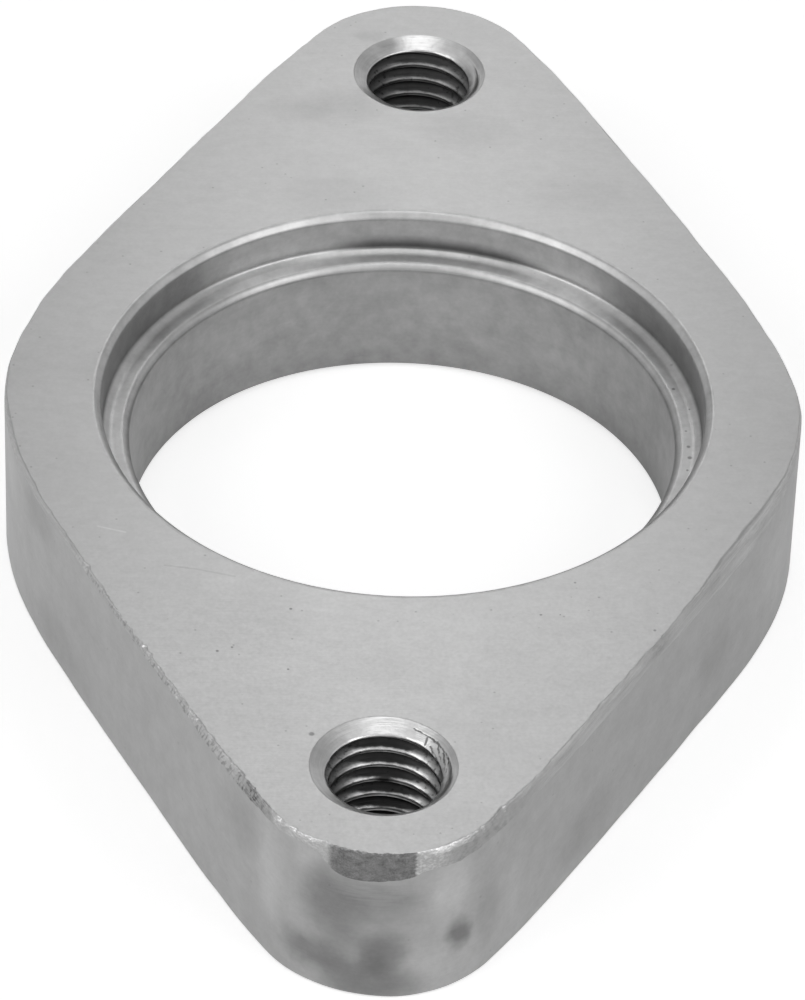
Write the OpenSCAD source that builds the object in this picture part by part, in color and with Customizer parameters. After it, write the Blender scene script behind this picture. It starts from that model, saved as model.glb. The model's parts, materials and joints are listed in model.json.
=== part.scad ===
// Two-bolt flange for the inlet of an exhaust wastegate, machined in one piece from stainless plate.
// The origin is on the bore's axis at the underside. Z is up, and the two tapped holes lie along Y.

/* [Plate] */
// Thickness of the plate
plate_t = 14.3; // [10:0.1:25]
// Bevel that breaks the outer edges, top and bottom
edge_break = 0.3; // [0.1:0.05:1]

/* [Outline] */
// Radius of the round middle, about the bore
middle_r = 32.05; // [30:0.05:40]
// Distance between the two tapped holes
hole_spacing = 88.9; // [84:0.1:110]
// Radius of each rounded end, about its tapped hole
end_r = 10.35; // [8:0.05:13]
// Radius of the shoulder that leads a flank round to its end
shoulder_r = 100; // [40:5:300]
// How far outside the end's circle a flank would pass if it ran on straight
shoulder_drop = 0.6; // [0.2:0.05:1.5]

/* [Tapped holes] */
// Outside diameter of the thread
thread_d = 10; // [6:1:14]
// Pitch of the thread
thread_pitch = 1.5; // [0.75:0.25:2]
// Reach of the countersink outside the thread
sink_rim = 0.6; // [0.2:0.1:2]
// Full angle of the countersink
sink_angle = 120; // [82:1:130]

/* [Stepped bore] */
// Outside diameter of the pipe that the socket takes
pipe_d = 48.3; // [40:0.1:54]
// Difference in diameter between socket and pipe
pipe_clearance = 0.2; // [0:0.05:1]
// Depth of the socket below the top face
socket_depth = 3.7; // [1.5:0.1:8]
// Width of the seat between socket and gas passage
seat_w = 2.25; // [1.5:0.05:5]
// Radius left by the tool in the socket's root
root_r = 0.4; // [0.1:0.05:0.8]
// Bevel round the socket's rim
rim_break = 0.5; // [0.1:0.05:1]
// Bevel on the seat's inner edge
seat_break = 0.45; // [0.1:0.05:0.6]
// Bevel round the bore's mouth underneath
mouth_break = 0.4; // [0.1:0.05:1]

/* [Hidden] */
$fn = 180;
// How far a round stretch of the outline stands proud of its neighbour, so that they cross at a clear angle
lap = 0.03;
// Extra reach past a face
over = 0.1;
socket_r = (pipe_d + pipe_clearance) / 2;
bore_r = socket_r - seat_w;
tap_r = (thread_d - thread_pitch) / 2;
sink_r = thread_d / 2 + sink_rim;
hole_y = hole_spacing / 2;
hole_at = [0, hole_y];
flank_reach = middle_r - lap;
flank_from_hole = end_r + shoulder_drop;
// Angle between a flank's outward normal and the X axis
flank_angle = asin((flank_reach - flank_from_hole) / hole_y);
flank_normal = [cos(flank_angle), sin(flank_angle)];
flank_run = [-sin(flank_angle), cos(flank_angle)];
// The shoulder's centre: the shoulder stands the lap proud of the flank, and the end the lap proud of it
shoulder_in = shoulder_r - flank_from_hole - lap;
shoulder_back = sqrt(pow(shoulder_r - end_r + lap, 2) - pow(shoulder_in, 2));
shoulder_at = hole_at - shoulder_in * flank_normal - shoulder_back * flank_run;
// Where stretches meet: the tangent points at half the bevel's depth, or at the wall for the shoulder
mid_bevel = (edge_break + over) / 2;
middle_meets = (flank_reach - mid_bevel) * flank_normal;
flank_meets = shoulder_at + shoulder_r * flank_normal;
end_meets = hole_at + (end_r - mid_bevel) * (hole_at - shoulder_at) / norm(hole_at - shoulder_at);
// A neck starts behind the line where its shoulders rise out of the flanks
neck_from = flank_meets.y - 2 * sqrt(2 * shoulder_r * lap);

// Half the plate's section, from an inner line out to the broken edge; it runs past both faces
function section(inner, reach) = [
    [inner, -over],
    [reach - edge_break - over, -over],
    [reach, edge_break],
    [reach, plate_t - edge_break],
    [reach - edge_break - over, plate_t + over],
    [inner, plate_t + over]
];

// Round stretch of the outline about a centre
module round_stretch(r) {
    rotate_extrude() polygon(section(0, r));
}

// Slab whose one outer side is a flank
module flank_slab() {
    rotate([0, 0, flank_angle])
        translate([0, hole_spacing, 0])
            rotate([90, 0, 0])
                linear_extrude(2 * hole_spacing)
                    polygon(section(-2 * middle_r, flank_reach));
}

// Stretch between a pair of flanks, trimmed inside the round middle and inside the neck
module web() {
    intersection() {
        flank_slab();
        mirror([1, 0, 0]) flank_slab();
        between(middle_meets.y, flank_meets.y);
    }
}

// Stretch between a pair of shoulders, trimmed inside the web and inside the rounded end
module neck() {
    intersection() {
        translate(shoulder_at) round_stretch(shoulder_r, $fn = 720);
        mirror([1, 0, 0]) translate(shoulder_at) round_stretch(shoulder_r, $fn = 720);
        between(neck_from, end_meets.y);
    }
}

// Everything between two lines across the plate
module between(near, far) {
    translate([-middle_r, near, -2 * over])
        cube([2 * middle_r, far - near, plate_t + 4 * over]);
}

// The plate before any hole, cut off level with both faces
module blank() {
    intersection() {
        union() {
            round_stretch(middle_r);
            for (flip = [0, 1])
                mirror([0, flip, 0]) {
                    web();
                    neck();
                    translate(hole_at) round_stretch(end_r);
                }
        }
        translate([-hole_spacing, -hole_spacing, 0])
            cube([2 * hole_spacing, 2 * hole_spacing, plate_t]);
    }
}

// Void of the stepped bore: mouth bevel, gas passage, seat, socket and rim bevel
module bore_void() {
    seat_z = plate_t - socket_depth;
    rotate_extrude() difference() {
        polygon([
            [0, -over],
            [bore_r + mouth_break + over, -over],
            [bore_r, mouth_break],
            [bore_r, seat_z - seat_break],
            [bore_r + seat_break, seat_z],
            [socket_r, seat_z],
            [socket_r, plate_t - rim_break],
            [socket_r + rim_break + over, plate_t + over],
            [0, plate_t + over]
        ]);
        translate([socket_r - root_r, seat_z]) difference() {
            square(root_r);
            translate([0, root_r]) circle(root_r);
        }
    }
}

// Void of a tapped hole, countersunk at both mouths
module tapped_void() {
    sink_depth = (sink_r - tap_r) / tan(sink_angle / 2);
    out = over * tan(sink_angle / 2);
    rotate_extrude() polygon([
        [0, -over],
        [sink_r + out, -over],
        [tap_r, sink_depth],
        [tap_r, plate_t - sink_depth],
        [sink_r + out, plate_t + over],
        [0, plate_t + over]
    ]);
}

module flange() {
    color("silver") difference() {
        blank();
        bore_void();
        for (side = [-1, 1])
            translate([0, side * hole_y, 0]) tapped_void();
    }
}

flange();
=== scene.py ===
import json
import math

import bpy
import numpy as np
from mathutils import Matrix, Vector
from mathutils.geometry import delaunay_2d_cdt


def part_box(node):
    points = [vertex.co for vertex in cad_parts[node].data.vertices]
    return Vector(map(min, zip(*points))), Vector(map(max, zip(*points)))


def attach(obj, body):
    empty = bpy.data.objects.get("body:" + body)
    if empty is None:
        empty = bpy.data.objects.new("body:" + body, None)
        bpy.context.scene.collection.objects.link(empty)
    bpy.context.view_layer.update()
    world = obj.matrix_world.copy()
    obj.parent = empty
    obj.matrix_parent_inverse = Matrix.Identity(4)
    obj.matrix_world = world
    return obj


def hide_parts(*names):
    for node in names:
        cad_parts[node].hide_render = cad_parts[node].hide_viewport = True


# The frame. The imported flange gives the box, and its record gives each bore and hole; they are kept in
# millimetres here, because the work on the edges is in tenths of one.
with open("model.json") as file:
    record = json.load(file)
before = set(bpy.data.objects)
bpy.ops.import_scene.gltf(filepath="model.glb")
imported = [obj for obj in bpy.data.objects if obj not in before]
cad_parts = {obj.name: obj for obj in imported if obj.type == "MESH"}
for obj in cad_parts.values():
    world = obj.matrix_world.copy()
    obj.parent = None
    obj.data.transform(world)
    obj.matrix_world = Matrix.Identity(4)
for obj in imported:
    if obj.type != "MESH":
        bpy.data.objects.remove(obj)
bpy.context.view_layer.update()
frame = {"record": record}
MM = 0.001
low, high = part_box("flange")
PLATE_T = (high.z - low.z) / MM
mounts = {m["name"]: m for m in frame["record"]["mounts"]}
BORE_R = mounts["gas_bore"]["dims"]["r_mm"]
SOCKET_R = mounts["pipe_socket"]["dims"]["r_mm"]
HOLE_Y = mounts["tapped_hole_rear"]["pos_m"][1] / MM
TAP_R = mounts["tapped_hole_rear"]["dims"]["r_mm"]

# The mesh under work. Each feature adds its own vertices to these lists, and its faces with the zone of
# their finish. Neighbours share the ring of vertices where they meet, so that the piece is closed.
FACE, WALL, BEVEL, TURNED, TAPPED = range(5)
points = []
faces = []
zones = []


def add_points(xyz):
    """Adds rows of x, y, z and returns their numbers."""
    start = sum(len(p) for p in points)
    points.append(np.asarray(xyz, float).reshape(-1, 3))
    return np.arange(start, start + len(points[-1]))


def add_quad(corners, zone):
    """Adds a face, with three corners where two of the four are one, and none where it has no width."""
    corners = list(dict.fromkeys(int(c) for c in corners))
    if len(corners) > 2:
        faces.append(corners)
        zones.append(zone)


def add_strip(upper, lower, zone):
    """Closes the strip between two rings of the same length."""
    for corners in zip(upper, lower, np.roll(lower, -1), np.roll(upper, -1)):
        add_quad(corners, zone)


def rounded(corners, reach, steps):
    """A section through its corners, each one rounded over its reach, with a row either side that keeps
    the flats flat. A corner is a pair of values, one across and one for height, each of them either a
    number or an array with one number for each place along the edge."""
    corners = [np.array(np.broadcast_arrays(*c), float) for c in corners]
    rows = [corners[0]]
    for before, here, after, r in zip(corners, corners[1:], corners[2:], reach):
        room_before = np.linalg.norm(before - here, axis=0)
        room_after = np.linalg.norm(after - here, axis=0)
        to_before = (before - here) / room_before
        to_after = (after - here) / room_after
        r = np.minimum(r, 0.33 * np.minimum(room_before, room_after))
        guard = 1.4 * r
        rows.append(here + guard * to_before)
        for t in np.linspace(0, 1, steps + 1):
            rows.append(here + (1 - t) ** 2 * r * to_before + t ** 2 * r * to_after)
        rows.append(here + guard * to_after)
    rows.append(corners[-1])
    return rows


def wander(along, total, step, seed):
    """Seeded smooth noise from -1 to 1 that closes on itself round a loop."""
    count = max(3, round(total / step))
    values = np.random.default_rng(seed).uniform(-1, 1, count)
    k = along / total * count
    i = np.floor(k).astype(int)
    f = k - i
    f = f * f * (3 - 2 * f)
    return values[i % count] * (1 - f) + values[(i + 1) % count] * f


# The blank: a slab sawn from stainless plate and brought to its outline by hand with a file or belt, so
# the four flanks differ, and the rear right one is cut deepest. The edges are broken by hand too: a steep
# bevel along the near right, burrs and nicks along the near left, and a filed facet at the near tip.
MIDDLE_R = high.x / MM
END_R = high.y / MM - HOLE_Y
SHOULDER_R = 100.0
# The line of the flank would pass the end round at this gap, and the shoulder curves in to it
SHOULDER_DROP = 0.6
# How deep the file went inside the drawn outline, by direction in degrees from +X
FILED = {
    0: 0.04, 5: 0.26, 10: 0.57, 15: 0.84, 20: 1.0, 25: 1.0, 30: 0.82, 35: 0.69, 40: 0.64, 45: 0.52,
    50: 0.45, 60: 0.40, 70: 0.33, 80: 0.28, 90: 0.30, 95: 0.26, 100: 0.10, 110: 0.05, 120: 0, 140: 0,
    150: 0.14, 155: 0.28, 165: 0.29, 170: 0.2, 176: 0, 184: 0.02, 190: 0.13, 200: 0.24, 205: 0.24,
    210: 0.1, 220: 0, 230: 0, 240: 0.04, 250: 0.1, 260: 0.12, 265: 0.28, 270: 0.24, 275: 0.1, 280: 0.3,
    285: 0.33, 290: 0.28, 295: 0.17, 300: 0.07, 310: 0, 320: 0, 330: 0.05, 335: 0.15, 340: 0.16,
    350: 0.08, 360: 0.04,
}
# The broken edge on top: how far it reaches in over the face, and how far down the wall
BEVEL_IN = {
    0: 0.12, 20: 0.1, 160: 0.1, 180: 0.12, 190: 0.3, 215: 0.28, 226: 0.26, 230: 0.14, 240: 0.2, 247: 0.24,
    251: 0.4, 257: 0.42, 262: 0.34, 265: 0.42, 270: 0.36, 275: 0.42, 280: 0.45, 284: 0.32, 290: 0.35,
    300: 0.38, 310: 0.34, 318: 0.4, 324: 0.6, 332: 0.7, 338: 0.5, 350: 0.2, 360: 0.12,
}
BEVEL_DOWN = {
    0: 0.25, 20: 0.2, 160: 0.2, 180: 0.3, 195: 0.45, 215: 0.42, 230: 0.4, 247: 0.42, 251: 0.6, 257: 0.7,
    264: 0.65, 265.2: 0.9, 265.8: 1.7, 266.6: 2.1, 268.4: 2.3, 272.7: 2.3, 273.1: 1.7, 277: 1.4, 280: 1.2,
    300: 1.3, 325: 1.5, 335: 1.4, 344: 0.9, 352: 0.5, 360: 0.25,
}
# How much of the bevel is rounded over into the face: most where the rubbing down went round the curve
BEVEL_SOFT = {0: 0.25, 200: 0.25, 300: 0.2, 312: 0.22, 322: 0.42, 340: 0.42, 352: 0.3, 360: 0.25}
# The small bevel round the underside
BEVEL_BELOW = 0.14


def by_direction(table, degrees):
    """Reads a table of directions and values, with the corners between the entries eased."""
    keys = np.array(sorted(table), float)
    values = np.array([table[k] for k in sorted(table)], float)
    fine_step = 0.25
    fine = np.interp(np.arange(0, 360, fine_step), keys, values)
    spread = 3
    kernel = np.hanning(2 * spread + 3)[1:-1]
    fine = np.convolve(np.concatenate((fine[-spread:], fine, fine[:spread])), kernel / kernel.sum(), "valid")
    around = np.arange(0, 360 + fine_step / 2, fine_step)
    return np.interp(degrees % 360, around, np.append(fine, fine[0]))


def drawn_radius(direction):
    """Distance from the bore's axis to the drawn outline: round middle, flank, shoulder, rounded end."""
    d = np.abs(((direction + math.pi / 2) % math.pi) - math.pi / 2)
    end_gap = END_R + SHOULDER_DROP
    flank = math.asin((MIDDLE_R - end_gap) / HOLE_Y)
    normal = np.array([math.cos(flank), math.sin(flank)])
    run = np.array([-normal[1], normal[0]])
    hole = np.array([0, HOLE_Y])
    inward = SHOULDER_R - end_gap
    centre = hole - inward * normal - math.sqrt((SHOULDER_R - END_R) ** 2 - inward ** 2) * run
    ray = np.stack([np.cos(d), np.sin(d)])

    def to_circle(middle, r):
        b = middle @ ray
        return b + np.sqrt(np.maximum(b * b - middle @ middle + r * r, 0))

    touch = hole + END_R * (hole - centre) / np.linalg.norm(hole - centre)
    leave = centre + SHOULDER_R * normal
    at_flank = MIDDLE_R / np.cos(d - flank)
    out = np.where(d < flank, MIDDLE_R, at_flank)
    out = np.where(d > math.atan2(leave[1], leave[0]), to_circle(centre, SHOULDER_R), out)
    return np.where(d > math.atan2(touch[1], touch[0]), to_circle(hole, END_R), out)


# Places along the outline: close together in the near half, where burrs show
AROUND = 1400
NEAR_DENSITY = 2.2
FINE_STEPS = 40000
TANGENT_SPREAD = 12
direction = np.linspace(0, 2 * math.pi, FINE_STEPS + 1) + math.pi / 2
reach = drawn_radius(direction) - by_direction(FILED, np.degrees(direction))
loop = np.stack([reach * np.cos(direction), reach * np.sin(direction)], 1)
step = np.linalg.norm(np.diff(loop, axis=0), axis=1)
weight = np.where(loop[1:, 1] < 0, NEAR_DENSITY, 1.0)
run_length = np.concatenate(([0], np.cumsum(step)))
weighted = np.concatenate(([0], np.cumsum(step * weight)))
picks = np.linspace(0, weighted[-1], AROUND, endpoint=False)
along = np.interp(picks, weighted, run_length)
direction = np.interp(picks, weighted, direction)
outline = np.stack([np.interp(picks, weighted, loop[:-1, k].tolist() + [loop[0, k]]) for k in (0, 1)])
length = run_length[-1]
kernel = np.hanning(2 * TANGENT_SPREAD + 1)
kernel = kernel / kernel.sum()
tangent = np.roll(outline, -1, 1) - np.roll(outline, 1, 1)
padded = np.concatenate((tangent[:, -TANGENT_SPREAD:], tangent, tangent[:, :TANGENT_SPREAD]), 1)
tangent = np.stack([np.convolve(row, kernel, "valid") for row in padded])
tangent /= np.linalg.norm(tangent, axis=0)
inward = np.stack([-tangent[1], tangent[0]])

# Roughness of the broken edge: a slow wander everywhere, fine nicks where the burrs are. Two strokes of
# the file meet in a fold that runs along the bevel.
degrees = np.degrees(direction) % 360
BURRS = {
    0: 0.15, 30: 0.1, 150: 0.1, 190: 0.12, 215: 0.25, 222: 0.7, 250: 0.8, 262: 0.6, 280: 0.5, 288: 0.22,
    345: 0.2, 360: 0.15,
}
burr = by_direction(BURRS, degrees)
nick = np.maximum(wander(along, length, 0.55, 3), 0) ** 2 * 0.28 + 0.06 * wander(along, length, 0.3, 4)
slow = 0.05 * wander(along, length, 2.6, 5) + 0.04 * wander(along, length, 1.1, 6)
bevel_in = np.clip(by_direction(BEVEL_IN, degrees) + slow + burr * nick, 0.05, 1.2)
bevel_down = by_direction(BEVEL_DOWN, degrees) * (1 + 0.1 * wander(along, length, 1.7, 7))
bevel_down = np.clip(bevel_down + burr * 0.12 * wander(along, length, 0.4, 8), 0.08, 3)
below = BEVEL_BELOW * (1 + 0.35 * wander(along, length, 3.1, 9))
soft_part = by_direction(BEVEL_SOFT, degrees)
fold_in = bevel_in * (0.42 + 0.12 * wander(along, length, 2.3, 13))
fold_down = bevel_down * (0.32 + 0.1 * wander(along, length, 3.7, 14))
# The flat that the edge keeps to itself on either face, so that the fill starts on a true flat
TOP_FLAT = 0.9
FOOT_FLAT = 0.3
rows = rounded(
    [
        (bevel_in + TOP_FLAT, PLATE_T + 0 * along),
        (bevel_in, PLATE_T),
        (fold_in, PLATE_T - fold_down),
        (0 * along, PLATE_T - bevel_down),
        (0 * along, below),
        (below, 0 * along),
        (below + FOOT_FLAT, 0 * along),
    ],
    [
        soft_part * bevel_in,
        0.12 * bevel_down,
        np.minimum(0.25, 0.25 * bevel_down),
        np.minimum(0.06, 0.3 * below),
        np.minimum(0.06, 0.3 * below),
    ],
    3,
)
# File marks: the steep bevel isn't flat, and the wall rolls a little along its length, but not the faces
SKIN = 0.02
BEVEL_MARK = 0.05
wall_roll = 0.02 * wander(along, length, 9, 10) + 0.012 * wander(along, length, 4.5, 11)
edge_rings = []
for inset, z in rows:
    depth = PLATE_T - z
    on_wall = (depth > SKIN) & (z > SKIN)
    marks = np.where(on_wall, np.maximum(wall_roll, 0), 0)
    filed = np.clip(1 - np.abs(depth / np.maximum(bevel_down, 0.1) - 0.5) * 2, 0, 1) * burr
    marks = marks + filed * BEVEL_MARK * (1 + wander(along, length, 0.5, 12))
    xy = outline + inward * (inset + marks)
    edge_rings.append(add_points(np.stack([xy[0], xy[1], z], 1)))
# Zones of the strips, from the face over the bevel and down the wall to the underside
EDGE_ZONES = [FACE] * 2 + [WALL] + [BEVEL] * 13 + [WALL] * 13 + [FACE] * 2
for zone, upper, lower in zip(EDGE_ZONES, edge_rings, edge_rings[1:]):
    add_strip(upper, lower, zone)

# The stepped bore, turned on a lathe: rim bevel, socket for the pipe's end, the root that the tool's
# round nose leaves, the seat with its eased inner edge, the gas passage and the bevel under it.
BORE_STEPS = 288
RIM = 0.5
RIM_FLAT = 0.6
SOCKET_DEPTH = 3.7
# How far the root reaches in over the seat, and how far up the socket's wall, as the light on it shows
ROOT_IN = 0.66
ROOT_UP = 0.3
SEAT_BEVEL = 0.45
MOUTH = 0.4
seat_z = PLATE_T - SOCKET_DEPTH
turned = rounded(
    [
        (SOCKET_R + RIM + RIM_FLAT, PLATE_T),
        (SOCKET_R + RIM, PLATE_T),
        (SOCKET_R, PLATE_T - RIM),
        (SOCKET_R, seat_z + ROOT_UP),
        (SOCKET_R - ROOT_IN, seat_z),
        (BORE_R + SEAT_BEVEL, seat_z),
        (BORE_R, seat_z - SEAT_BEVEL),
        (BORE_R, MOUTH),
        (BORE_R + MOUTH, 0),
        (BORE_R + MOUTH + FOOT_FLAT, 0),
    ],
    [0.32, 0.2, 0.3, 0.3, 0.22, 0.2, 0.06, 0.06],
    4,
)
turn = np.linspace(0, 2 * math.pi, BORE_STEPS, endpoint=False)
bore_rings = [
    add_points(np.stack([r * np.cos(turn), r * np.sin(turn), z + 0 * turn], 1)) for r, z in turned
]
bore_zones = [FACE] + [TURNED] * (len(bore_rings) - 3) + [FACE]
for zone, upper, lower in zip(bore_zones, bore_rings, bore_rings[1:]):
    add_strip(lower, upper, zone)

# The two holes, drilled, countersunk from both sides and tapped right through with a 10 mm coarse thread.
# The rows of the mesh follow the helix, so each crest is one clean line until the countersink cuts it.
PITCH = 1.5
MAJOR_R = 5.0
SINK_R = 5.6
SINK_TAN = math.tan(math.radians(60))
FLANK_TAN = math.tan(math.radians(30))
HOLE_STEPS = 112
# The countersink's rim is broken by this much, with this much flat round it and this much tool chatter
SINK_BREAK = 0.14
SINK_FLAT = 0.3
CHATTER = 0.012
# Height of a crest at the hole's +X side, and sideways slip of the countersink, for the near hole (-1)
# and the far one (1)
THREADS = {-1: (1.13, -0.15), 1: (1.08, 0.0)}
# Half the width of a crest, by the thread's 60 degree profile, and how far it is worn and torn
crest_half = (PITCH - 2 * (MAJOR_R - TAP_R) * FLANK_TAN - PITCH / 8) / 2
CREST_WORN = 0.17
CREST_TORN = 0.01
# Rows up one pitch: close together over the crest's upper side, which is the one in view
section_at = np.array([0, 0.08, 0.15, 0.21, 0.28, 0.38, 0.62, 0.75, 0.88, 1.17, 1.27, 1.34, 1.43])
per_pitch = len(section_at)


def thread_radius(offset):
    """Radius of the tapped wall at a height above a crest's middle."""
    off = np.abs((offset + PITCH / 2) % PITCH - PITCH / 2)
    past = np.maximum(off - crest_half + CREST_WORN, 0)
    return np.minimum(TAP_R + (np.hypot(past, CREST_WORN) - CREST_WORN) / FLANK_TAN, MAJOR_R)


hole_top_rings = []
hole_foot_rings = []
for side, (crest, slip) in THREADS.items():
    turn = np.linspace(0, 2 * math.pi, HOLE_STEPS, endpoint=False)
    chatter = CHATTER * wander(turn, 2 * math.pi, 0.3, 20 + side)
    collar = rounded(
        [
            (SINK_R + SINK_FLAT, PLATE_T + 0 * turn),
            (SINK_R + chatter, PLATE_T),
            (SINK_R - SINK_BREAK * SINK_TAN + 0 * turn, PLATE_T - SINK_BREAK),
        ],
        [0.06 + 0 * turn],
        3,
    )

    def ring(r, z):
        """A ring of the hole, about its own axis."""
        shift = slip * np.clip((r - TAP_R) / (SINK_R - TAP_R), 0, 1)
        return np.stack([r * np.cos(turn) + shift, side * HOLE_Y + r * np.sin(turn), z + 0 * turn], 1)

    top_rings = [add_points(ring(r, z)) for r, z in collar]
    foot_rings = [add_points(ring(r, PLATE_T - z)) for r, z in collar]
    for k, zone in enumerate([FACE] * 5 + [TAPPED] * 2):
        add_strip(top_rings[k + 1], top_rings[k], zone)
        add_strip(foot_rings[k], foot_rings[k + 1], zone)
    hole_top_rings.append(top_rings[0])
    hole_foot_rings.append(foot_rings[0])
    z_top = PLATE_T - SINK_BREAK
    z_foot = SINK_BREAK
    # The helix starts two turns below the underside and ends above the face, and is then cut to length
    turns = math.ceil(PLATE_T / PITCH) + 3
    heights = (np.arange(turns)[:, None] * PITCH + section_at[None, :]).ravel() - 2 * PITCH + crest % PITCH
    torn = np.random.default_rng(30 + side)
    grid = []
    for k, h in enumerate(heights):
        z = h + PITCH * turn / (2 * math.pi)
        offset = section_at[k % per_pitch]
        on_crest = min(offset, PITCH - offset) < crest_half * 1.3
        wall = thread_radius(offset) + CREST_TORN * torn.normal(0, 1, HOLE_STEPS) * on_crest
        cone = SINK_R - np.minimum(PLATE_T - z, z) * SINK_TAN
        r = np.maximum(wall, cone)
        inside = (z > z_foot) & (z < z_top)
        row = np.where(z >= z_top, top_rings[-1], foot_rings[-1])
        row[inside] = add_points(ring(r, z)[inside])
        grid.append(row)
    # One turn round, each row meets the row one pitch above it
    grid = np.array(grid)
    joined = np.concatenate((grid[per_pitch:, :1], np.repeat(top_rings[-1][None, :1], per_pitch, 0)))
    grid = np.concatenate((grid, joined), 1)
    for lower, upper in zip(grid, grid[1:]):
        for corners in zip(lower, upper, upper[1:], lower[1:]):
            add_quad(corners, TAPPED)

# The two ground faces close the piece: the top one, and the one it rests on. The finished mesh then
# takes the place of the drawn flange.
everything = np.concatenate(points)


def add_flat(loops, z_up):
    """Fills the flat between the outer loop and the openings inside it."""
    numbers = np.concatenate(loops)
    flat = [Vector(everything[n, :2]) for n in numbers]
    edges = []
    start = 0
    for one in loops:
        size = len(one)
        edges += [(start + i, start + (i + 1) % size) for i in range(size)]
        start += size
    _, _, made, origin, _, _ = delaunay_2d_cdt(flat, edges, [], 1, 1e-7)
    back = [int(numbers[o[0]]) for o in origin]
    openings = [set(one.tolist()) for one in loops[1:]]
    for triangle in made:
        corners = [back[i] for i in triangle]
        if any(opening.issuperset(corners) for opening in openings):
            continue
        p, q, r = everything[corners, :2]
        turns_left = (q[0] - p[0]) * (r[1] - p[1]) - (q[1] - p[1]) * (r[0] - p[0]) > 0
        faces.append(corners if turns_left == z_up else corners[::-1])
        zones.append(FACE)


add_flat([edge_rings[0], bore_rings[0], *hole_top_rings], True)
add_flat([edge_rings[-1], bore_rings[-1], *hole_foot_rings], False)

mesh = bpy.data.meshes.new("flange_machined")
mesh.from_pydata((everything * MM).tolist(), [], faces)
mesh.polygons.foreach_set("material_index", zones)
mesh.polygons.foreach_set("use_smooth", [True] * len(faces))
mesh.update()
flange = bpy.data.objects.new("flange_machined", mesh)
bpy.context.scene.collection.objects.link(flange)
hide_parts("flange")
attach(flange, "root")


# Finish of the faces: ground on a belt, so fine lines run across the plate, with cloudy patches, light
# and dark scratches, small dark pits and a few smudges, and more wear towards the near tip, where it was
# handled. The class and the functions below build this finish and the ones after it.
class Wire:
    """A socket of a shader, which adds Math nodes where it is used in a sum."""

    def __init__(self, tree, socket=None):
        self.tree = tree
        self.socket = socket

    def node(self, kind, inputs=None, out=0, **settings):
        made = self.tree.nodes.new("ShaderNode" + kind)
        for key, value in settings.items():
            setattr(made, key, value)
        for key, value in (inputs or {}).items():
            if isinstance(value, Wire):
                self.tree.links.new(value.socket, made.inputs[key])
            else:
                made.inputs[key].default_value = value
        return Wire(self.tree, made.outputs[out])

    def math(self, operation, *values, clamp=False):
        return self.node("Math", dict(enumerate(values)), operation=operation, use_clamp=clamp)

    def __add__(self, other):
        return self.math("ADD", self, other)

    def __sub__(self, other):
        return self.math("SUBTRACT", self, other)

    def __rsub__(self, other):
        return self.math("SUBTRACT", other, self)

    def __mul__(self, other):
        return self.math("MULTIPLY", self, other)

    def __truediv__(self, other):
        return self.math("DIVIDE", self, other)

    def __pow__(self, other):
        return self.math("POWER", self, other)

    __radd__ = __add__
    __rmul__ = __mul__

    def __abs__(self):
        return self.math("ABSOLUTE", self)

    def most(self, other):
        """The larger of the two."""
        return self.math("MAXIMUM", self, other)

    def axes(self):
        """The x, y and z of this vector."""
        return [self.node("SeparateXYZ", {0: self}, out=k) for k in range(3)]

    def ends(self, kind):
        """Ends the tree with this shader."""
        end = self.tree.nodes.new("ShaderNode" + kind)
        self.tree.links.new(self.socket, end.inputs["Surface"])

    def ease(self, low, high):
        """0 below low, 1 above high, and smooth between; the other way round if low is the larger."""
        bounds = {0: self, 1: min(low, high), 2: max(low, high), 3: 0, 4: 1}
        up = self.node("MapRange", bounds, interpolation_type="SMOOTHSTEP")
        return up if low < high else 1 - up

    def noise(self, size, detail=2.0, stretch=(1, 1, 1), turn=0.0):
        """Noise about 0, mostly from -1 to 1, on this vector in millimetres; size is one feature's, and
        the stretch is along axes turned about Z."""
        scale = [size * s for s in stretch]
        turned = {"Vector": self, "Rotation": (0, 0, turn), "Scale": scale}
        placed = self.node("Mapping", turned, vector_type="TEXTURE")
        raw = placed.node("TexNoise", {"Vector": placed, "Scale": 1.0, "Detail": detail})
        return (raw - 0.5) * 2.8

    def specks(self, spacing, size):
        """Dots of about one size at random places, one to a cell."""
        raw = self.node("TexVoronoi", {"Vector": self, "Scale": 1 / spacing})
        return raw.ease(size / spacing, size * 0.4 / spacing)

    def warped(self, size, amount):
        """This vector pushed about by noise, so that what is placed with it gets a ragged outline."""
        push = self.node("TexNoise", {"Vector": self, "Scale": 1 / size, "Detail": 2.0}, out="Color")
        push = self.node("VectorMath", {0: push, 1: (0.5, 0.5, 0.5)}, operation="SUBTRACT")
        push = self.node("VectorMath", {0: push, "Scale": amount * 2}, operation="SCALE")
        return self.node("VectorMath", {0: self, 1: push}, operation="ADD")

    def spot(self, place, reach):
        """1 at a place, and 0 beyond its reach, which is one length or three for a softer spot."""
        if isinstance(reach, tuple):
            gap = self.node("VectorMath", {0: self, 1: place}, operation="SUBTRACT")
            gap = self.node("VectorMath", {0: gap, 1: reach}, operation="DIVIDE")
            return self.node("VectorMath", {0: gap}, out="Value", operation="LENGTH").ease(1.25, 0.25)
        gap = self.node("VectorMath", {0: self, 1: place}, out="Value", operation="DISTANCE")
        return gap.ease(reach, reach * 0.4)

    def scratch(self, start, end, width):
        """1 on the line between two places, and 0 beside it."""
        start = Vector(start)
        run = Vector(end) - start
        gap = self.node("VectorMath", {0: self, 1: start}, operation="SUBTRACT")
        unit = run / run.length_squared
        part = self.node("VectorMath", {0: gap, 1: unit}, out="Value", operation="DOT_PRODUCT")
        part = self.math("ADD", part, 0, clamp=True)
        nearest = self.node("VectorMath", {0: run, "Scale": part}, operation="SCALE")
        gap = self.node("VectorMath", {0: gap, 1: nearest}, out="Value", operation="DISTANCE")
        return gap.ease(width, width * 0.3)


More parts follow.
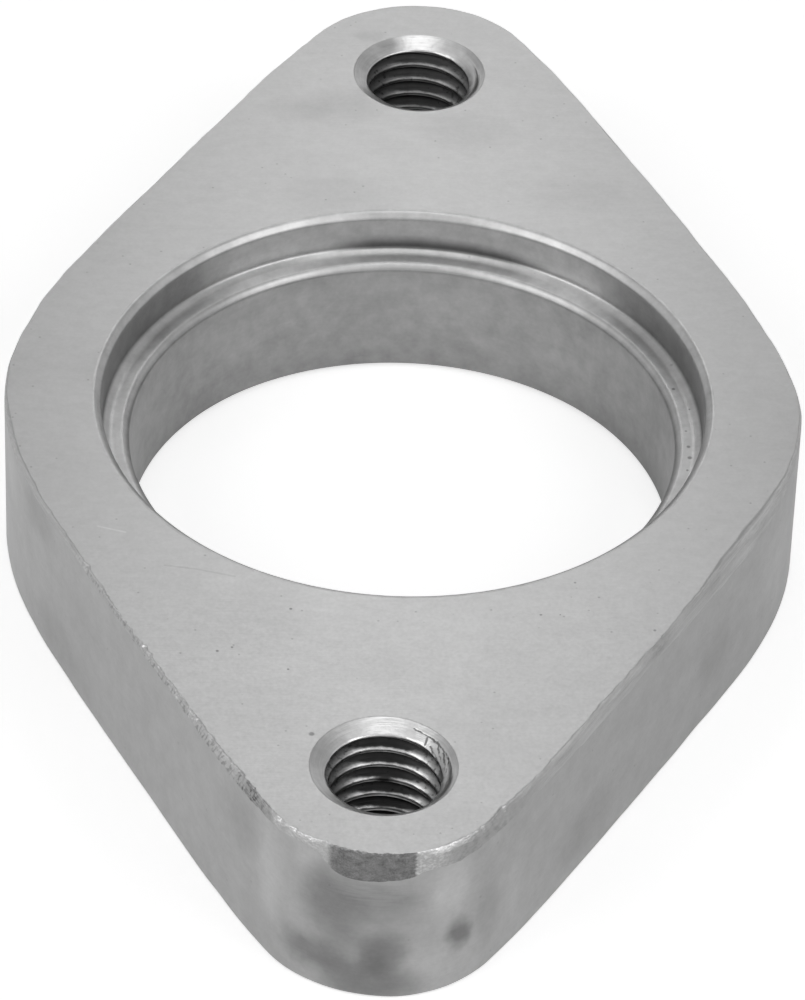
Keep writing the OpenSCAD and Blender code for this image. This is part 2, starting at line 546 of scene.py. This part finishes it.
def new_steel(name):
    """An empty metal and the place on it, in millimetres in the flange's frame."""
    made = bpy.data.materials.new(name)
    made.use_nodes = True
    made.node_tree.nodes.clear()
    start = Wire(made.node_tree)
    raw = start.node("TexCoord", out="Object")
    return made, raw.node("VectorMath", {0: raw, "Scale": 1 / MM}, operation="SCALE")


def finish_steel(made, tone, rough, height, depth):
    """Joins the grey, the roughness and the relief, whose height of 1 is depth millimetres."""
    start = Wire(made.node_tree)
    grey = start.node("CombineColor", {0: tone, 1: tone, 2: tone})
    relief = start.node("Bump", {"Height": height, "Distance": depth * MM, "Strength": 1.0})
    metal = start.node(
        "BsdfPrincipled", {"Base Color": grey, "Metallic": 1.0, "Roughness": rough, "Normal": relief}
    )
    metal.ends("OutputMaterial")


# Place and radius of each pit
PITS = [
    (-13.3, -32.1, 0.17), (-12.2, -31.6, 0.13), (-7.9, -26.8, 0.17), (-7.8, -33.9, 0.13),
    (11.4, -26.3, 0.15), (20.2, -27.6, 0.16), (20.2, -30.5, 0.16), (12.9, -26.2, 0.1), (-5.7, -41.2, 0.3),
    (14.0, -22.3, 0.14),
]
# Place, radius and strength of each smudge
SMEARS = [
    (-6.2, 39.3, 2.2, 0.05), (-10.0, 38.4, 1.8, 0.04), (4.5, 36.5, 2.6, 0.035), (-4.3, 49.4, 0.9, 0.06),
    (-6.0, 26.5, 3.2, 0.03), (14.0, 28.0, 2.5, 0.03), (-23.0, 2.0, 2.5, 0.03), (-11.7, -28.4, 3.0, 0.02),
]
GROUND_GREY = 0.5
ground, at = new_steel("steel_ground")
cloud = at.noise(14, 3.0)
mottle = at.noise(2.6, 2.0, (1.8, 1, 1))
blotch = at.noise(0.8, 1.0, (1.7, 1, 1))
lines = at.noise(0.13, 1.0, (30, 1, 1), 0.03)
cross = at.noise(0.2, 1.0, (20, 1, 1), 0.5)
grain = at.noise(0.3, 2.0)
pit = at.specks(1.5, 0.13) * 0.6
for x, y, r in PITS:
    pit = pit.most(at.spot((x, y, PLATE_T), r))
handled = at.axes()[1].ease(-12, -34)
grain = grain * (1 + handled * 0.9)
blotch = blotch + at.noise(0.45, 3.0) * handled * 0.8
tone = GROUND_GREY + cloud * 0.025 + mottle * 0.018 + blotch * 0.02
tone = tone + lines * 0.01 + grain * 0.022 - pit * 0.22
ragged = at.warped(2.0, 1.0)
for x, y, r, strength in SMEARS:
    tone = tone - ragged.spot((x, y, PLATE_T), (r * 1.8, r * 1.2, r * 1.2)) * strength
bright_cut = at.scratch((-23.4, -17.8, PLATE_T), (-21.2, -18.4, PLATE_T), 0.13)
dark_cut = at.scratch((-17.9, -22.2, PLATE_T), (-15.5, -22.5, PLATE_T), 0.12)
cut_end = at.scratch((-15.5, -22.5, PLATE_T), (-12.4, -23.2, PLATE_T), 0.12)
tone = tone + bright_cut * 0.07 - dark_cut.most(cut_end) * 0.06
rough = 0.38 + cloud * 0.03 + mottle * 0.03 + lines * 0.03
relief = lines * 0.5 + cross * 0.25 + blotch * 0.5 + grain * 0.2 - pit
finish_steel(ground, tone, rough, relief, depth=0.004)

# Finish of the outer wall: filed and rubbed down by hand, smoother and cloudier than the faces, with
# stains, rubbed patches and painted reflections of shade and light, most of them round the near tip. Each
# has its place, its reach across and up, and how dark it is; a bright one is below 0.
PAINTED_REFLECTIONS_AND_STAINS = [
    (-3.6, -53.8, 8.9, 3.0, 4.4, 0.4), (-5.2, -53.1, 3.2, 3.4, 1.9, 0.4),
    (0.4, -54.5, 4.6, 2.1, 2.5, 0.4), (-1.9, -54.3, 4.6, 2.6, 2.6, 0.18),
    (0.6, -54.5, 9.2, 3.0, 3.6, 0.15), (6.0, -52.7, 5.2, 1.4, 1.9, 0.5),
    (-0.6, -54.4, 1.4, 4.6, 2.4, 0.42), (0.2, -54.5, 9.6, 2.8, 2.2, 0.12),
    (8.1, -50.6, 5.7, 1.8, 4.5, 0.14), (-10.8, -46.8, 10.6, 3.2, 3.4, 0.13),
    (25.4, -20.5, 5.9, 3.4, 3.4, 0.13), (15.4, -38.7, 3.6, 5.5, 3.0, 0.16),
    (5.3, -53.1, 10.2, 2.2, 3.6, -0.22), (-28.5, -14.5, 12.5, 3.8, 2.6, 0.15),
    (-24.0, -23.0, 9.0, 4.5, 3.2, 0.06), (3.9, -53.9, 3.2, 2.6, 2.4, -0.06),
    (-8.4, -50.3, 9.0, 2.0, 5.5, -0.17), (-5.6, -52.9, 12.8, 1.8, 1.5, -0.12),
    (10.2, -47.8, 6.0, 1.6, 5.0, -0.07), (-31.0, -7.0, 12.0, 3.0, 4.0, -0.1),
    (-27.0, -18.0, 2.0, 7.0, 3.6, 0.12), (29.8, -10.0, 7.0, 4.0, 6.0, -0.1),
]
FILED_GREY = 0.51
filed_wall, at = new_steel("steel_filed")
cloud = at.noise(7, 3.0)
mottle = at.noise(1.6, 3.0)
streak = at.noise(0.18, 2.0, (10, 10, 1))
grain = at.noise(0.35, 2.0)
shade = at.noise(2.5, 1.0) * 0.03
ragged = at.warped(1.8, 0.7)
# Stains together with painted shade and painted highlights from reflections
for x, y, z, across, high, strength in PAINTED_REFLECTIONS_AND_STAINS:
    shade = shade + ragged.spot((x, y, z), (across, across, high)) * strength
scuffed = at.spot((-0.6, -54.5, 10.6), (3.6, 3.6, 1.5))
tone = (FILED_GREY + cloud * 0.032 + mottle * 0.042 + streak * 0.016 + grain * 0.026) * (1 - shade)
tone = tone + streak * scuffed * 0.05 - at.specks(2.2, 0.16) * 0.08
relief = cloud * 4.0 + mottle * 0.8 + streak * 0.3 + grain * 0.2
finish_steel(filed_wall, tone, 0.33 + cloud * 0.04, relief, depth=0.004)

# Finish of the broken edge: fresh file marks that run along it, dull and dark on the facet at the tip,
# torn with painted highlights just to its right and where the burrs were knocked off on the left, and a
# painted highlight along the lip at the tip. Burrs stand up along the near left, painted as teeth in
# painted shade with painted highlights on their tips, and the near right has a rubbed patch and a seam.
# Place and radius of each painted highlight where a burr was knocked off
CHIPS = [
    (-18.2, -32.9, 0.7), (-16.2, -37.2, 0.6), (-15.0, -39.5, 0.7), (-13.6, -42.1, 0.6),
    (-8.0, -51.0, 1.0),
]
# The near flanks run at this angle to X, one to either side
FLANK_TURN = math.radians(61.7)
EDGE_GREY = 0.54
filed_edge, at = new_steel("steel_filed_edge")
x, y, z = at.axes()
right_side = x.ease(-1, 1)
streak = at.noise(0.11, 2.0, (26, 1, 1), FLANK_TURN) * right_side
streak = streak + at.noise(0.11, 2.0, (26, 1, 1), -FLANK_TURN) * (1 - right_side)
torn = at.noise(0.22, 5.0, (1.2, 1.2, 0.8))
rough_cut = at.noise(0.4, 4.0, (1.5, 1.5, 1))
at_tip = y.ease(-50, -51)
dull = (x + torn * 0.15).ease(-4.15, -3.5) * (x + torn * 0.1).ease(2.75, 2.5) * at_tip
# Painted highlights on the torn metal right of the facet and where burrs were knocked off
bright = (x + torn * 0.3).ease(2.4, 2.8) * (x + torn * 1.2).ease(6.5, 4.5) * at_tip
for chip_x, chip_y, r in CHIPS:
    bright = bright.most(at.spot((chip_x, chip_y, PLATE_T), r))
flecks = torn.ease(-0.2, 0.7)
dragged = x.ease(4.2, 5.6) * x.ease(13, 8) + at.spot((-9.7, -48.2, PLATE_T), (2.8, 3.2, 2.0)) * 1.9
dragged = dragged + at.spot((20.6, -29.0, PLATE_T - 0.3), (1.8, 3.0, 1.4)) * 0.8
dragged = dragged * (0.3 + (streak + rough_cut * 0.7).ease(-0.4, 0.7))
left_edge = x.ease(-8, -10) * x.ease(-27, -22) * y.ease(-10, -16)
# Painted shade under the burrs along the near left, and painted highlights on their tips
teeth = at.noise(0.28, 3.0, (1, 1, 2.5)).ease(-0.1, 0.5) * left_edge * z.ease(PLATE_T - 0.04, PLATE_T - 0.16)
tooth_highlights = torn.ease(0.0, 0.7) * left_edge * z.ease(PLATE_T - 0.14, PLATE_T - 0.05)
rubbed_at = (25.0, -20.6, PLATE_T)
rubbed = at.spot(rubbed_at, (5.6, 8.0, 1.6)) * at.spot(rubbed_at, (9.0, 9.0, 0.9))
seam = at.noise(0.5, 3.0, (9, 1, 1), FLANK_TURN) * x.ease(10, 14)
foot_of_bevel = z.ease(PLATE_T - 0.5, PLATE_T - 1.2) * x.ease(9, 14)
# Painted highlight along the burred lip at the tip
lip_highlight = (z + torn * 0.06).ease(PLATE_T - 0.24, PLATE_T - 0.06) * at_tip * flecks
tone = EDGE_GREY + streak * 0.09 + torn * 0.03
tone = tone - dull * (0.29 - rough_cut * 0.09) + bright * (flecks * 0.2 + 0.01)
tone = tone - dragged * 0.15 + lip_highlight * 0.22 - teeth * 0.2 + tooth_highlights * 0.2
tone = tone - rubbed * 0.05 + seam * 0.07 + foot_of_bevel * 0.03
relief = streak + torn + rough_cut * (dull + dragged)
finish_steel(filed_edge, tone, 0.38 + dull * 0.12, relief, depth=0.012)

# Finish of the bore: turned, so the tool's lines run round it, then dulled and mottled by pickling, with
# painted shade in a dark band above the socket's root and on the socket's sides, a darker bore with
# painted shade towards its foot and sides, painted light on the root and the seat, painted shade on the
# seat's inner edge, and a few pits on the seat.
SEAT_PITS = [
    (23.1, -0.4, 0.22), (23.2, -1.8, 0.26), (23.0, -3.4, 0.16), (22.9, 1.6, 0.14), (21.8, 10.0, 0.26),
    (21.9, 7.0, 0.2), (4.9, 23.5, 0.24), (10.4, 21.6, 0.2), (22.6, 8.2, 0.14), (23.2, 4.4, 0.12),
]
TURNED_GREY = 0.49
turned_steel, at = new_steel("steel_turned")
x, y, z = at.axes()
radius = (x * x + y * y) ** 0.5
cloud = at.noise(5, 3.0, (1, 1, 0.6))
mottle = at.noise(1.3, 3.0)
tool_lines = at.noise(0.12, 1.0, (60, 60, 1))
grain = at.noise(0.35, 2.0)
to_side = abs(x)
on_wall = radius.ease(SOCKET_R - 0.36, SOCKET_R - 0.12) * z.ease(PLATE_T - 0.3, PLATE_T - 0.8)
on_wall = on_wall * z.ease(seat_z + 0.14, seat_z + 0.3)
# Painted highlight: the root is brighter than the seat, but duller at the left of the back
on_root = radius.ease(SOCKET_R - 0.8, SOCKET_R - 0.6) * z.ease(seat_z + 0.36, seat_z + 0.26)
root_painted_light = on_root * (x.ease(-7, -12) * x.ease(-22, -15) * 0.2 - 0.08)
# Painted light: the seat brighter between the sides
seat_painted_light = radius.ease(SOCKET_R - 0.4, SOCKET_R - 0.9) * z.ease(seat_z - 0.5, seat_z - 0.2)
seat_painted_light = seat_painted_light * x.ease(-17, -11) * x.ease(21, 13)
on_bore = radius.ease(BORE_R + 0.3, BORE_R + 0.1)
# Painted shade: a dark band above the socket's root, and the socket's sides darker
socket_shade = z.ease(seat_z + 1.75, seat_z + 0.4) * x.ease(-8, -3) * x.ease(13, 7) * 0.7
socket_shade = socket_shade + to_side.ease(14, 19) * 0.42
# Painted shade: the seat's inner edge darker, except at the sides
break_painted_shade = radius.ease(BORE_R + 0.02, BORE_R + 0.12) * radius.ease(BORE_R + 0.6, BORE_R + 0.45)
break_painted_shade = break_painted_shade * to_side.ease(21, 15)
pit = mottle.ease(0.65, 1.0) * 0.35
for pit_x, pit_y, r in SEAT_PITS:
    pit = pit.most(at.spot((pit_x, pit_y, seat_z), r))
tone = TURNED_GREY + cloud * 0.065 + mottle * 0.075 + grain * 0.028 + tool_lines * 0.01
# The bore darker overall, with painted shade towards its foot and at its sides
bore_tone_and_shade = z.ease(5, 0) * 0.14 + to_side.ease(12, 20) * 0.1 + 0.11
tone = tone * (1 - on_wall * socket_shade) * (1 - on_bore * bore_tone_and_shade)
tone = tone * (1 + seat_painted_light * 0.26 - break_painted_shade * 0.3 - root_painted_light)
relief = tool_lines * 0.4 + grain * 0.3 + mottle * 1.2 + cloud * 2.0
finish_steel(turned_steel, tone - pit * 0.25, 0.42 + cloud * 0.03, relief, depth=0.004)

# Finish of the tapped holes: bright where the countersink was cut, with a painted highlight on the near
# hole's crests, dark cutting oil mixed with painted shade in the roots of the thread, painted shade deeper
# in at the sides, on the left and in the far hole, and torn metal at the right of the near hole. The scores
# there run from place to place, and None lifts the tool.
SCORES = [
    (2.0, -39.8, 14.04), (3.4, -40.8, 13.99), (4.2, -41.9, 13.96), (4.65, -43.0, 13.88),
    (4.5, -44.1, 13.6), None, (3.8, -41.2, 13.99), (4.0, -42.4, 13.65), (4.1, -43.4, 13.5), None,
    (3.0, -40.6, 13.95), (2.9, -41.1, 13.6), None, (4.3, -42.2, 13.8), (4.4, -43.4, 13.6),
    (4.2, -44.3, 13.4), None, (3.3, -41.3, 13.6), (3.9, -42.9, 13.4),
]
TAPPED_GREY = 0.56
tapped_steel, at = new_steel("steel_tapped")
x, y, z = at.axes()
from_axis = (x * x + (abs(y) - HOLE_Y) ** 2.0) ** 0.5
from_mouth = z.math("MINIMUM", z, PLATE_T - z)
grime = at.noise(0.6, 3.0)
turned_lines = at.node("CombineXYZ", {0: from_axis, 1: x * 0.04, 2: y * 0.04}).noise(0.1, 1.0)
deep = (from_mouth + grime * 0.15).ease(0.7, 1.2)
rear = y.ease(-1, 1)
side = abs(x).ease(0.8, 3.6)
# Cutting oil and painted shade in the roots of the thread, deeper in; the spot is a dark blotch of oil
root_oil_and_shade = ((from_axis + grime * 0.1 - TAP_R) / (side * 0.5 + 0.2)).ease(0, 1) * deep
root_oil_and_shade = root_oil_and_shade.most(at.warped(0.5, 0.3).spot((-0.1, -40.2, 9.2), (1.0, 1.5, 1.2)))
# Painted highlight on the crests of the near hole, deeper in
crest_highlight = from_axis.ease(TAP_R + 0.16, TAP_R + 0.04) * deep * (1 - rear)
scuff = at.spot((4.3, -43.4, 12.4), (1.3, 2.2, 2.0))
clot = (at.noise(0.4, 4.0) + side * 0.25 + scuff * 0.5).ease(0.35, 0.75) * deep
scored = at.warped(0.4, 0.12)
cut = at.spot((-2.8, 48.8, 14.0), (1.2, 1.2, 0.7)) * 0.4
for start_at, end_at in zip(SCORES, SCORES[1:]):
    if start_at and end_at:
        cut = cut.most(scored.scratch(start_at, end_at, 0.13))
tone = (TAPPED_GREY + grime * 0.06 + turned_lines * 0.06) * (1 + crest_highlight * 0.3)
# Painted shade: the far hole darker deeper in
tone = tone * (1 - root_oil_and_shade * (0.93 - rear * 0.2)) * (1 - rear * deep * 0.42)
tone = tone * (1 - clot * 0.6) * (1 - cut * 0.7)
# Painted shade deeper in, towards the sides of each hole and on its left
tone = tone * (1 - deep * (side * 0.3 + x.ease(-0.3, -1.2) * 0.25))
rough = 0.3 + root_oil_and_shade * 0.15 + rear * deep * 0.15
finish_steel(tapped_steel, tone, rough, grime * 1.5 + turned_lines * 0.6 - cut * 2.0, depth=0.006)

# The finishes in the order of the zones
for material in (ground, filed_wall, filed_edge, turned_steel, tapped_steel):
    mesh.materials.append(material)

# The table: a pale sheet that keeps the flange's soft shadow. It is only there from above, glows more
# towards its far edge, where it runs into the room, and is mirrored a little weaker on the right.
TABLE = 1.6
TABLE_GAP = 0.00004
SEEN_GLOW = 0.62
FAR_GLOW = 0.38
MIRRORED_GLOW = 0.28
RIGHT_LOSS = 0.09
table_mesh = bpy.data.meshes.new("table_sheet")
table_mesh.from_pydata(
    [(-TABLE, -TABLE, 0), (TABLE, -TABLE, 0), (TABLE, TABLE, 0), (-TABLE, TABLE, 0)], [], [(0, 1, 2, 3)]
)
table = bpy.data.objects.new("table_sheet", table_mesh)
table.location.z = -TABLE_GAP
bpy.context.scene.collection.objects.link(table)
paper = bpy.data.materials.new("paper_white")
paper.use_nodes = True
paper.node_tree.nodes.clear()
sheet = Wire(paper.node_tree)
seen = sheet.node("LightPath", out="Is Camera Ray")
mirrored = sheet.node("LightPath", out="Is Glossy Ray")
spread_at = sheet.node("TexCoord", out="Object")
to_right = spread_at.axes()[0].ease(0.005, 0.03)
far = spread_at.node("VectorMath", {0: spread_at}, out="Value", operation="LENGTH").ease(0.15, 0.9)
white = seen * (SEEN_GLOW + far * FAR_GLOW) + mirrored * (MIRRORED_GLOW - to_right * RIGHT_LOSS)
glow = sheet.node("Emission", {"Color": sheet.node("CombineColor", {0: white, 1: white, 2: white})})
matt = sheet.node("BsdfDiffuse", {"Color": (0.8, 0.8, 0.8, 1)})
both = sheet.node("AddShader", {0: glow, 1: matt})
clear = sheet.node("BsdfTransparent")
under = sheet.node("NewGeometry", out="Backfacing")
sheet.node("MixShader", {0: under, 1: both, 2: clear}).ends("OutputMaterial")
table_mesh.materials.append(paper)

# The studio: a white room that the steel mirrors softly. It is darker high up behind the flange than at
# the horizon and in front, and lights the steel only weakly beside what is mirrored.
ROOM = 0.8
ROOM_BEHIND = 0.36
FILL = 0.16
world = bpy.data.worlds.new("studio")
bpy.context.scene.world = world
world.use_nodes = True
world.node_tree.nodes.clear()
sky = Wire(world.node_tree)
look = sky.node("TexCoord", out="Generated")
_, look_y, look_z = look.axes()
seen = sky.node("LightPath", out="Is Camera Ray")
mirrored = sky.node("LightPath", out="Is Glossy Ray")
room = ROOM - look_y.ease(-0.2, 0.6) * look_z.ease(0.1, 0.5) * ROOM_BEHIND
strength = FILL + seen * (1 - FILL) + mirrored * (room - FILL)
sky.node("Background", {"Color": (1, 1, 1, 1), "Strength": strength}).ends("OutputWorld")


def soft_box(name, azimuth, elevation, distance, width, height, glow):
    """A soft light that faces the flange, at angles in degrees from the camera's side and from the
    table; glow is how bright it looks, where 1 is white."""
    data = bpy.data.lights.new(name, "AREA")
    data.shape = "RECTANGLE"
    data.size = width
    data.size_y = height
    data.energy = glow * math.pi * width * height
    lamp = bpy.data.objects.new(name, data)
    a = math.radians(azimuth)
    e = math.radians(elevation)
    away = Vector((math.sin(a) * math.cos(e), -math.cos(a) * math.cos(e), math.sin(e)))
    lamp.location = away * distance
    lamp.rotation_mode = "QUATERNION"
    lamp.rotation_quaternion = away.to_track_quat("Z", "Y")
    bpy.context.scene.collection.objects.link(lamp)


# A box at either side, one overhead, and a small strip behind, where the top face mirrors it
soft_box("box_left", -58, 43, 0.8, 0.4, 0.4, 2.2)
soft_box("box_right", 58, 43, 0.8, 0.4, 0.4, 2.3)
soft_box("box_above", 0, 86, 0.8, 0.4, 0.3, 1.5)
soft_box("strip_back", 180.5, 47, 0.3, 0.06, 0.18, 1.6)

# The camera stands where the photograph was taken from, by the fit to the picture. Its focal length is
# in pixels, and the sensor spans the picture's long side.
CAMERA_F = 6438.09
FRAME_LONG = 1000
SENSOR = 36
back_az = math.radians(0.433)
back_el = math.radians(39.542)
roll = math.radians(2.047)
distance = 0.529509
aim = Vector((0.000176, 0.00424, 0))
level = math.cos(back_el)
back = Vector((math.sin(back_az) * level, -math.cos(back_az) * level, math.sin(back_el)))
right = Vector((math.cos(back_az), math.sin(back_az), 0))
up = back.cross(right)
right, up = math.cos(roll) * right + math.sin(roll) * up, math.cos(roll) * up - math.sin(roll) * right
camera_data = bpy.data.cameras.new("camera")
camera_data.sensor_width = SENSOR
camera_data.lens = CAMERA_F * SENSOR / FRAME_LONG
camera_data.clip_start = 0.01
camera = bpy.data.objects.new("camera", camera_data)
turned_to = Matrix((right, up, back)).transposed().to_4x4()
camera.matrix_world = Matrix.Translation(aim + back * distance) @ turned_to
bpy.context.scene.collection.objects.link(camera)
bpy.context.scene.camera = camera
bpy.context.scene.view_settings.view_transform = "Standard"
